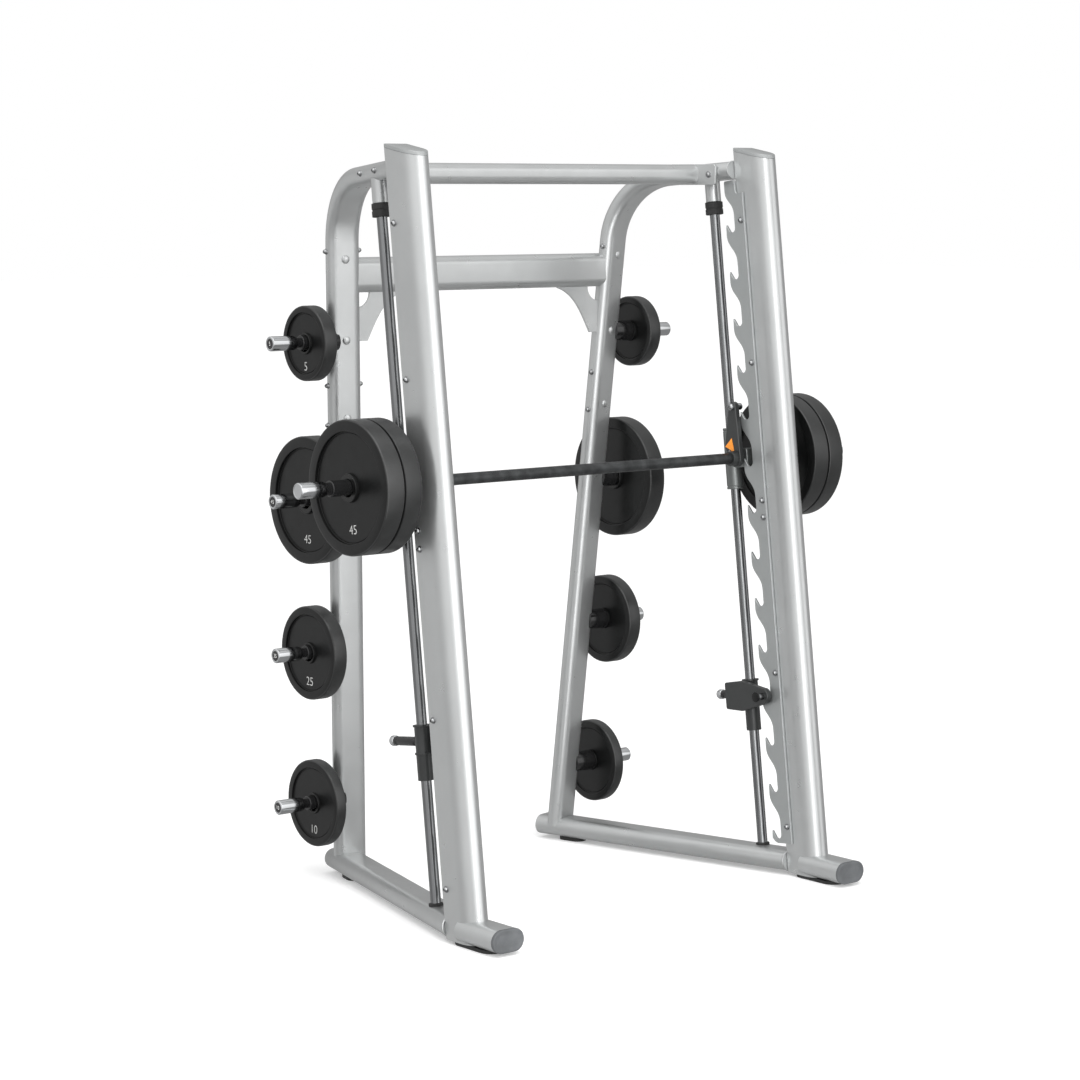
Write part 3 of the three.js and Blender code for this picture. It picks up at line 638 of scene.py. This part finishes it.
# ---- guide rods and what holds them ----
def build_rods():
    rod = Piece("guide_rod", LEANING)
    rod.add(lathe([(0, -40), (ROD_RADIUS, -40), (ROD_RADIUS, 2150), (0, 2150)], 48), ROD, ON_ROD)
    rod.pair("frame", "chrome", "guide_rod_{}")
    bush = Piece("rod_bush", LEANING)
    profile = [(ROD_HOLE, -30), (22, -30), (22, 6), (20.5, 8), (ROD_HOLE, 8)]
    bush.add(lathe(profile, 40), RUBBER, ON_ROD)
    bush.pair("frame", "rubber", "rod_bush_{}")
    bumper = Piece("top_bumper", LEANING)
    bottom, top, radius = BUMPER["bottom"], BUMPER["top"], BUMPER["radius"]
    profile = [(ROD_HOLE, bottom), (radius, bottom), (radius, 2064), (26.6, 2065.5), (26.6, 2068),
               (radius, 2069.5), (radius, top), (ROD_HOLE, top)]
    bumper.add(lathe(rounded(profile, 1.6), 48), RUBBER, ON_ROD)
    bumper.pair("frame", "rubber", "top_bumper_{}")
    socket = Piece("rod_socket", LEANING)
    profile = [(ROD_HOLE, top + GAP), (23.6, top + GAP), (24.5, 2088.4), (24.5, 2162), (ROD_HOLE, 2162)]
    socket.add(lathe(profile, 48), SILVER, ON_ROD)
    socket.pair("frame", "frame_silver", "rod_socket_{}")


def catch_outline():
    """(y, s) pairs, anticlockwise; d counts forward from the tooth tips."""
    tip, front, depth = CATCH["tip"], CATCH["front"], CATCH["depth"]

    def point(d, h):
        return (tip - d, h)

    first, last = CATCH["first"], CATCH["first"] + (CATCH["teeth"] - 1) * CATCH["pitch"]
    edge = [point(24, first - 34), point(14, first - 31), point(8, first - 27), point(-1, first - 18)]
    for i in range(CATCH["teeth"]):
        h = first + i * CATCH["pitch"]
        edge += [point(-0.4, h - 4), point(0.2, h + 6), point(1.6, h + 5.5), point(4.5, h + 1.5)]
        for k in range(13):
            t = math.radians(200 + 160 * k / 12)
            edge.append(point(VALLEY["d"] + VALLEY["radius"] * math.cos(t),
                              h + VALLEY["h"] + VALLEY["radius"] * math.sin(t)))
        if h < last:
            edge += bezier(point(depth, h + 34), point(depth, h + 76),
                           point(-1, h + 84), point(-1, h + 124), 14)
    edge += bezier(point(depth, last + 34), point(depth, last + 76),
                   point(4, last + 80), point(4, last + 112), 14)
    edge += [point(4, last + 142), point(8, last + 146), point(48, last + 146), point(52, last + 142)]
    edge += [point(54, last + 108), point(59, last + 102), (front, last + 102)]
    return [(front, first - 34), *edge]


def build_catch_plates():
    piece = Piece("catch_plate", LEANING)
    piece.add(slab(catch_outline(), CATCH["x"], CATCH["x"] + CATCH["thickness"], 0.9), CATCH_STEEL)
    piece.pair("frame", "catch_steel", "catch_plate_{}", angle=28)


def bolt(piece, place, radius, height, disc=0):
    """A bolt head along x, on a washer if disc gives its radius."""
    if disc:
        piece.add(washer(disc), BOLT, place)
        place = place @ Matrix.Translation((WASHER_THICKNESS, 0, 0))
    piece.add(dome(radius, height), BOLT, place)


def build_bolts():
    through = Piece("upright_bolts")
    for z in UPRIGHT_BOLTS:
        s = (z - ROD_FOOT_Z + BOLT_LINE * math.sin(LEAN)) / math.cos(LEAN)
        for x, axis in ((UPRIGHT["x"] + UPRIGHT["half"], "x"), (CATCH["x"], "-x")):
            place = Matrix.Translation(leaning_point(x, BOLT_LINE, s)) @ at(0, 0, 0, axis)
            bolt(through, place, 8, 8, 10.5)
    through.pair("frame", "chrome")
    rear = Piece("post_bolts")
    frames, side, on = post_frames()
    up = frames[0][1]
    normal = up.cross(side)
    for z in POST_BOLTS:
        centre = post_point(z)
        for sign in (1, -1):
            direction = side * sign
            place = Matrix.Translation(centre + direction * (POST_WIDTH / 2)) @ facing(direction)
            bolt(rear, place, 7.5, 8, 9.5)
    for z in POST_PLUGS:
        centre = post_point(z)
        front = normal if normal.y < 0 else -normal
        place = Matrix.Translation(centre + front * (POST_DEPTH / 2)) @ facing(front)
        rear.add(lathe([(0, -2), (13, -2), (13, 0.4), (11.5, 3), (7.5, 5), (0, 5.8)], 32), SILVER, place)
    arm = on.cross(Vector((0, 0, 1))).normalized()
    out = arm if arm.x > 0 else -arm
    for y in ARM_BOLTS:
        t = (POST_CORNER.y - y) / (POST_CORNER.y - ARM_END.y)
        centre = POST_CORNER.lerp(ARM_END, t)
        place = Matrix.Translation(centre + out * (POST_WIDTH / 2)) @ facing(out)
        bolt(rear, place, 7.5, 7, 9.5)
    rear.pair("frame", "chrome")


def facing(direction):
    """A turn that takes the x axis to direction."""
    return direction.to_track_quat("X", "Z").to_matrix().to_4x4()


# ---- weights ----
PLATE_SEGMENTS = 96
PLATE_EDGE = 4  # points of a plate's face that lie on its rounded edge
FIGURE_HEIGHT, HORN_FIGURE_HEIGHT = 39, 17
FACE_SINK = 0.8  # how far the end face of a tip lies below its rim


def recess_depth(thickness):
    return min(9, thickness * 0.15)


def plate_face(radius, thickness):
    """A plate's face as (radius, x) pairs, outwards: raised hub, sunk web, steep wall, rim, edge."""
    half = thickness / 2
    web = half - recess_depth(thickness)
    rim = radius * 0.83
    hub = max(radius * 0.215, BORE + 7)
    return [(BORE, half - 1.5), (BORE + 1.2, half - 0.4), (hub - 1.5, half - 0.4), (hub, half - 1.6),
            (hub + 1, web), (rim - 6, web), (rim - 4.5, web - 1.2), (rim - 2.5, web - 1.2), (rim - 1, web),
            (rim - 0.3, half - 0.8), (rim + 0.8, half), (radius - 4.6, half), (radius - 2, half - 0.9),
            (radius - 0.5, half - 2.7), (radius, half - 5)]


def chamfered(face):
    """The same face with a deeper edge, where two plates meet."""
    radius, flat = face[-1][0], face[-PLATE_EDGE - 1][1]
    return face[:-PLATE_EDGE] + [(radius - 9, flat), (radius - 8.2, flat - 2.4), (radius - 1.2, flat - 3.4),
                                 (radius, flat - 4.8)]


def weight_plate(name, weight, x, y, z, space, flip, meets=0):
    """One plate; meets tells which face, -1 or 1, lies against another plate."""
    radius, thickness = PLATES[weight]
    plain = plate_face(radius, thickness)
    face = chamfered(plain) if meets > 0 else plain
    back = [(r, -v) for r, v in (chamfered(plain) if meets < 0 else plain)]
    piece = Piece(name, space)
    piece.add(lathe(back + face[::-1], PLATE_SEGMENTS, loop=True), PLATE, at(x, y, z))
    tread = len(face) - PLATE_EDGE
    # the rim and its rounded edges take the tread rubber, painted lighter as a painted sheen
    piece.repaint(TREAD_SHEEN, tread * PLATE_SEGMENTS, (tread + 2 * PLATE_EDGE - 1) * PLATE_SEGMENTS)
    hub, half = face[3][0], thickness / 2
    for sign in (-1, 1):
        ring = [(BORE + 2, sign * (half - 1.4)), (BORE + 2, sign * half), (hub - 2.4, sign * half),
                (hub - 1.4, sign * (half - 1.4))]
        piece.add(lathe(ring if sign < 0 else ring[::-1], 72, loop=True), HUB, at(x, y, z))
    return piece.make(name, flip, name, [name], 30)


def number(name, text, height, place, body, material, depth=0.5):
    """Raised figures, read from outside."""
    curve = bpy.data.curves.new(name, "FONT")
    curve.body = text
    curve.align_x, curve.align_y = "CENTER", "CENTER"
    curve.size = height
    curve.extrude = depth
    curve.offset = -0.012 * height
    holder = bpy.data.objects.new(name + "_curve", curve)
    bpy.context.scene.collection.objects.link(holder)
    bpy.context.view_layer.update()
    mesh = bpy.data.meshes.new_from_object(holder.evaluated_get(bpy.context.evaluated_depsgraph_get()))
    bpy.data.objects.remove(holder)
    mesh.transform(Matrix.Diagonal((MM, MM, MM, 1)) @ place)
    mesh.materials.clear()
    mesh.materials.append(material)
    mesh.name = name
    made = bpy.data.objects.new(name, mesh)
    bpy.context.scene.collection.objects.link(made)
    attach(made, body)
    return made


def outward(flip, x, y, z):
    """Axes for figures on a face that looks along flip * x: right, up, out."""
    turn = Matrix(((0, 0, flip, 0), (flip, 0, 0, 0), (0, 1, 0, 0), (0, 0, 0, 1)))
    return Matrix.Translation((flip * x, y, z)) @ turn


def figures(name, weight, x, y, z, space, body, flip):
    radius, thickness = PLATES[weight]
    face = x + thickness / 2 - recess_depth(thickness)
    place = space @ outward(flip, face, y, z - 0.62 * radius)
    number(name, weight, FIGURE_HEIGHT, place, body, PRINT)


def tipped(end, radius, start=30, neck=15):
    """A plate horn or bar sleeve: black sleeve and neck, a collar of chrome painted darker as a painted dark
    reflection, bright tip.
    """
    tip = end - TIP
    collar = tip + COLLAR
    sleeve = rounded([(0, start), (radius, start), (radius, tip - NECK - 2), (radius - 2, tip - NECK),
                      (neck, tip - NECK)], 0.8) + [(neck, tip + 1)]
    # the collar is chrome painted darker, a painted dark reflection
    dark = rounded([(neck - 1, tip), (radius - 4.5, tip), (radius - 1, tip + 8),
                    (radius - 1, collar + 1)], 0.6) + [(0, collar + 1)]
    bright = rounded([(neck, collar), (radius - 0.6, collar), (radius, collar + 0.8), (radius, end - 2.4),
                      (radius - 2.4, end), (radius - 5, end), (radius - 5.6, end - FACE_SINK),
                      (0, end - FACE_SINK)], 0.6)
    return ((lathe(sleeve, 40), GLOSS), (lathe(dark, 40), SHADED_CHROME), (lathe(bright, 40), CHROME))


def build_horns():
    for weight, z in HORN_HEIGHTS.items():
        thickness = PLATES[weight][1]
        post = post_point(z)
        inner = PLATE_FACES[weight] - thickness
        horn = Piece(f"horn_{weight}")
        here = at(post.x, post.y, z)
        for part, material in tipped(HORN_LENGTH, HORN_RADIUS):
            horn.add(part, material, here)
        sunk, raised = HORN_LENGTH - FACE_SINK, HORN_LENGTH - 0.3
        horn.add(lathe([(0, sunk), (16, sunk), (15.5, raised), (0, raised)], 40), GLOSS, here)
        flange = [(20, 30), (31, 30), (HORN_FLANGE, inner - GAP - HORN_FLANGE_THICKNESS),
                  (HORN_FLANGE, inner - GAP), (20, inner - GAP)]
        horn.add(lathe(rounded(flange, 1.5), 48), GLOSS, here)
        horn.pair("frame", "black_steel", f"horn_{weight}_{{}}")
        x = post.x + PLATE_FACES[weight] - thickness / 2
        for side, flip in SIDES:
            name = f"stored_plate_{weight}_{side}"
            weight_plate(name, weight, x, post.y, z - HORN_HANG, LEVEL, flip)
            figures(f"plate_number_{weight}_{side}", weight, x, post.y, z - HORN_HANG, LEVEL, name, flip)
            place = LEVEL @ outward(flip, post.x + sunk, post.y, z)
            number(f"horn_number_{weight}_{side}", weight, HORN_FIGURE_HEIGHT, place, "frame", WHITE, 0.7)


# ---- bar, sleeves, carriage, hooks ----
def build_bar():
    bar = Piece("bar", LEANING)
    half = [(GRIP_RADIUS, GRIP_END - 1.5), (GRIP_RADIUS - 1.5, GRIP_END), (BAR_RADIUS, GRIP_END),
            (BAR_RADIUS, BAR_END)]
    profile = [(0, -BAR_END), *((r, -x) for r, x in half[::-1]), *half, (0, BAR_END)]
    bar.add(lathe(profile, 48), KNURL, at(0, BAR_Y, BAR_S))
    bar.one("bar", "dark_steel", "bar")


def build_sleeves():
    sleeve = Piece("sleeve", LEANING)
    here = at(0, BAR_Y, BAR_S)
    for part, material in tipped(SLEEVE_END, SLEEVE_RADIUS, SLEEVE_START, neck=18.4):
        sleeve.add(part, material, here)
    radius, start, end = SLEEVE_COLLAR["radius"], SLEEVE_COLLAR["start"], SLEEVE_COLLAR["end"]
    sleeve.add(lathe(rounded([(20, start), (radius, start), (radius, end), (20, end)], 1.8), 48), GLOSS, here)
    sleeve.pair("sleeve_{}", "chrome", "sleeve_{}")


def build_bar_plates():
    thickness = PLATES["45"][1]
    for name, face, meets in (("outer", BAR_FACE, -1), ("inner", BAR_FACE - thickness - GAP, 1)):
        for side, flip in SIDES:
            node = f"bar_plate_{name}_{side}"
            x = face - thickness / 2
            weight_plate(node, "45", x, BAR_Y, BAR_S - SLEEVE_HANG, LEANING, flip, meets)
            if name == "outer":
                figures(f"bar_plate_number_{side}", "45", x, BAR_Y, BAR_S - SLEEVE_HANG, LEANING, node, flip)


def build_carriage():
    piece = Piece("carriage", LEANING)
    low, high = BAR_S - CARRIAGE["half"], BAR_S + CARRIAGE["half"]
    hole, radius = CARRIAGE["bore"], CARRIAGE["radius"]
    groove = radius - 1.1
    start = [(hole, low), (radius - 1, low), (radius, low + 1.2), (radius, low + 7), (groove, low + 8),
             (groove, low + 10), (radius, low + 11)]
    end = [(radius, high - 11), (groove, high - 10), (groove, high - 8), (radius, high - 7),
           (radius, high - 1.2), (radius - 1, high), (hole, high)]
    piece.add(lathe(rounded(start + end, 0.5), 48), HOUSING, ON_ROD)
    for s0, s1 in ((low, low + 4), (high - 4, high)):
        piece.add(lathe([(16.4, s0), (hole, s0), (hole, s1), (16.4, s1)], 40), RUBBER, ON_ROD)
    block = rounded_rectangle(46, 31, 10)
    inner = CARRIAGE["inner"]
    piece.add(slab([(y - 36, z + BAR_S) for y, z in block], inner, CARRIAGE["outer"], 1.5), HOUSING)
    for z in (-19, 19):
        bolt(piece, at(inner, -12, BAR_S + z, "-x"), 6, 5)
    piece.pair("carriage", "housing_grey", "carriage_{}")


def round_hull(rounds, sides=96):
    """The outline drawn tight round some circles (radius, y, z): the farthest circle in each direction."""
    points = []
    for k in range(sides):
        t = 2 * math.pi * k / sides
        way = Vector((math.cos(t), math.sin(t)))
        radius, y, z = max(rounds, key=lambda c: c[0] + way.dot(Vector(c[1:])))
        points.append((y + radius * way.x, z + radius * way.y))
    return points


def build_hooks():
    start, end, hub, length = HOOK["start"], HOOK["end"], HOOK["hub"], HOOK["length"]
    hole = BAR_RADIUS + GAP
    turn = Matrix.Rotation(HOOK["rest"], 4, "X")
    hook = Piece("hook", LEANING @ Matrix.Translation((0, BAR_Y, BAR_S)) @ turn)
    hook.add(slab(round_hull(HOOK_ROUNDS), start, end, 1.8), DARK)
    hook.add(lathe(rounded([(hole, hub), (24, hub), (24, end), (hole, end)], 1.5), 40), DARK)
    pin = [(0, start - 8), (11, start - 8), (11, end + 20), (0, end + 20)]
    hook.add(lathe(rounded(pin, 1.5), 32), CHROME, at(0, 0, length))
    bolt(hook, at(start - 6, 0, length, "-x"), 10, 6)
    bolt(hook, at(start, 22, 20, "-x"), 6, 4)
    hook.add(slab([(-1.9, 18.7), (39.1, 37.8), (7.6, 64.2)], start - 1.4, start + 0.2, 0.3), ORANGE)
    hook.pair("bar", "dark_steel", "hook_{}")


# ---- safety stops ----
def arm_outline():
    """(y, s) pairs from the pin's height: a plate that narrows to a round nose about the pin."""
    rear, half, waist_y, waist, radius = (ARM[k] for k in ("rear", "half", "waist_y", "waist", "nose"))
    turns = [math.radians(90 + 180 * k / 16) for k in range(17)]
    nose = [(PIN_Y + radius * math.cos(t), radius * math.sin(t)) for t in turns]
    corners = [(rear, -half), (rear, half), (waist_y, waist), *nose, (waist_y, -waist)]
    return rounded([*corners, *corners[:2]], 7)[1:-1]


def pin_bore():
    radius = PIN_RADIUS + GAP
    return [(PIN_Y + radius * math.cos(t), PIN_S + radius * math.sin(t))
            for t in (2 * math.pi * k / 32 for k in range(32))]


def build_stops():
    stop = Piece("safety_stop", LEANING)
    bottom, top, waist, radius, flange = (STOP[k] for k in ("bottom", "top", "waist", "radius", "flange"))
    tube = [(ROD_HOLE, bottom), (radius, bottom), (radius, waist), (flange, waist), (flange, waist + 6),
            (radius, waist + 6), (radius, top - 6), (flange, top - 6), (flange, top), (ROD_HOLE, top)]
    stop.add(lathe(rounded(tube, 0.8), 48), DARK, ON_ROD)
    arm = [(y, z + PIN_S) for y, z in arm_outline()]
    stop.add(slab(arm, ARM["start"], ARM["end"], 1.6, pin_bore()), DARK)
    web = [(y, z + PIN_S) for y, z in rounded_rectangle(20, 38, 4)]
    stop.add(slab(web, ARM["end"] - 1, ROD_X, 1), DARK)
    handle = at(ROD_X, 20, PIN_S, "y")
    grip = [(0, 0), (11, 0), (11, 14), (14, 17), (14, 96), (12.5, 99), (12.5, 102), (14, 104), (14, 114)]
    stop.add(lathe(rounded(grip, 1.2) + [(0, 114)], 32), GLOSS, handle)
    knob = [(0, 114), (14.6, 114), (16, 117), (16, 130), (13, 135), (0, 135)]
    stop.add(lathe(rounded(knob, 1), 32), CHROME, handle)
    stop.pair("safety_stop_{}", "dark_steel", "safety_stop_{}")


def build_lock_pins():
    pin = Piece("lock_pin", LEANING)
    here = at(0, PIN_Y, PIN_S)
    stem = [(0, 587), (PIN_RADIUS, 587), (PIN_RADIUS, 626), (PIN_RADIUS - 1.5, 628), (0, 628)]
    # the stem is chrome painted darker, as painted shade
    pin.add(lathe(rounded(stem, 0.6), 32), SHADED_CHROME, here)
    head = [(0, 583.6), (16.5, 583.6), (16.5, 589), (0, 589)]
    pin.add(lathe(rounded(head, 1), 32), PLATE, here)
    pin.pair("lock_pin_{}", "chrome", "lock_pin_{}")


# ---- make everything ----
build_uprights()
build_feet()
build_rails()
build_posts()
build_top_bar()
build_rear_bar()
build_rods()
build_catch_plates()
build_bolts()
build_horns()
build_bar()
build_sleeves()
build_bar_plates()
build_carriage()
build_hooks()
build_stops()
build_lock_pins()
# the pads and bearings keep their CAD shapes
for node, material in (("front_pad", RUBBER), ("rear_pad", RUBBER), ("linear_bearing", CHROME)):
    for side, _ in SIDES:
        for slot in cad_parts[f"{node}_{side}"].material_slots:
            slot.material = material

# ---- stage, light and camera ----
WHITE_LIGHT = (1, 1, 1, 1)


def lay_floor(reach=60):
    """A floor that runs out of sight; its faint glow hides where it ends."""
    mesh = bpy.data.meshes.new("floor")
    corners = [(-reach, -reach, 0), (reach, -reach, 0), (reach, reach, 0), (-reach, reach, 0)]
    mesh.from_pydata(corners, [], [(0, 1, 2, 3)])
    floor = bpy.data.objects.new("floor", mesh)
    bpy.context.scene.collection.objects.link(floor)
    pale = Recipe("pale_floor")
    pale.colour(pale.ramp(pale.noise(3, 2), (0.3, (0.89,)), (0.7, (0.91,))))
    pale.shader.inputs["Roughness"].default_value = 0.9
    pale.shader.inputs["Emission Color"].default_value = WHITE_LIGHT
    pale.shader.inputs["Emission Strength"].default_value = 0.22
    mesh.materials.append(pale.material)
    floor.visible_glossy = False  # polished tubes mirror the studio walls instead of the floor


def softbox(name, place, target, width, height, watts):
    """An area light that the camera doesn't see."""
    data = bpy.data.lights.new(name, "AREA")
    data.shape = "RECTANGLE"
    data.size, data.size_y = width, height
    data.energy = watts
    light = bpy.data.objects.new(name, data)
    light.location = place
    light.rotation_euler = (Vector(target) - Vector(place)).to_track_quat("-Z", "Y").to_euler()
    light.visible_camera = False
    bpy.context.scene.collection.objects.link(light)


# direction of a glow, cosine where it starts, cosine where it is full, strength
STUDIO_BASE = 0.36
STUDIO_GLOWS = (((-0.4, -0.1, 0.9), -0.1, 0.95, 0.8), ((-0.9, -0.42, 0.1), 0.75, 0.99, 0.3),
                ((-0.4, 0.9, -0.35), 0.75, 1.0, 0.3), ((0.44, -0.84, 0.25), 0.87, 0.96, 1.05))


def studio_world():
    """A white room, brighter overhead, with soft glows round it; the camera sees it plain white."""
    world = bpy.data.worlds.new("studio")
    bpy.context.scene.world = world
    world.use_nodes = True
    nodes, links = world.node_tree.nodes, world.node_tree.links
    lit = nodes["Background"]
    direction = nodes.new("ShaderNodeTexCoord").outputs["Generated"]

    def glow(towards, start, full, strength):
        dot = nodes.new("ShaderNodeVectorMath")
        dot.operation = "DOT_PRODUCT"
        dot.inputs[1].default_value = Vector(towards).normalized()
        links.new(direction, dot.inputs[0])
        ranged = nodes.new("ShaderNodeMapRange")
        ranged.interpolation_type = "SMOOTHSTEP"
        for slot, value in zip((1, 2, 3, 4), (start, full, 0, strength)):
            ranged.inputs[slot].default_value = value
        links.new(dot.outputs["Value"], ranged.inputs[0])
        return ranged.outputs[0]

    total = None
    for layer in STUDIO_GLOWS:
        value = glow(*layer)
        if total:
            add = nodes.new("ShaderNodeMath")
            links.new(total, add.inputs[0])
            links.new(value, add.inputs[1])
            value = add.outputs[0]
        total = value
    base = nodes.new("ShaderNodeMath")
    base.inputs[1].default_value = STUDIO_BASE
    links.new(total, base.inputs[0])
    links.new(base.outputs[0], lit.inputs["Strength"])
    backdrop = nodes.new("ShaderNodeBackground")
    choose = nodes.new("ShaderNodeMixShader")
    seen = nodes.new("ShaderNodeLightPath")
    links.new(seen.outputs["Is Camera Ray"], choose.inputs[0])
    links.new(lit.outputs[0], choose.inputs[1])
    links.new(backdrop.outputs[0], choose.inputs[2])
    links.new(choose.outputs[0], nodes["World Output"].inputs["Surface"])
    lit.inputs["Color"].default_value = WHITE_LIGHT
    backdrop.inputs["Color"].default_value = WHITE_LIGHT


# metres and degrees
CAMERA_PLACE = (-5.8987, -6.9574 - DEPTH_CENTRE * MM, 2.1741)
AZIMUTH, ELEVATION, ROLL = -39.0, 6.6, 0.05
LENS = 99.74


def place_camera():
    data = bpy.data.cameras.new("camera")
    data.sensor_width = 36
    data.lens = LENS
    data.clip_end = 200
    camera = bpy.data.objects.new("camera", data)
    bpy.context.scene.collection.objects.link(camera)
    camera.location = CAMERA_PLACE
    camera.rotation_euler = (math.radians(90 - ELEVATION), math.radians(ROLL), math.radians(AZIMUTH))
    bpy.context.scene.camera = camera


lay_floor()
softbox("overhead", (-1.5, -2.0, 6.5), (0, 0, 0.5), 5.0, 5.0, 140)
softbox("front", (-1.0, -2.6, 1.4), (-1.0, 0, 1.4), 2.7, 3.8, 34)
softbox("strip", (-1.08, -2.44, 1.5), (-0.4, 0, 1.5), 0.7, 3.8, 15)
studio_world()
place_camera()
bpy.context.scene.view_settings.view_transform = "Standard"

bpy.context.view_layer.update()
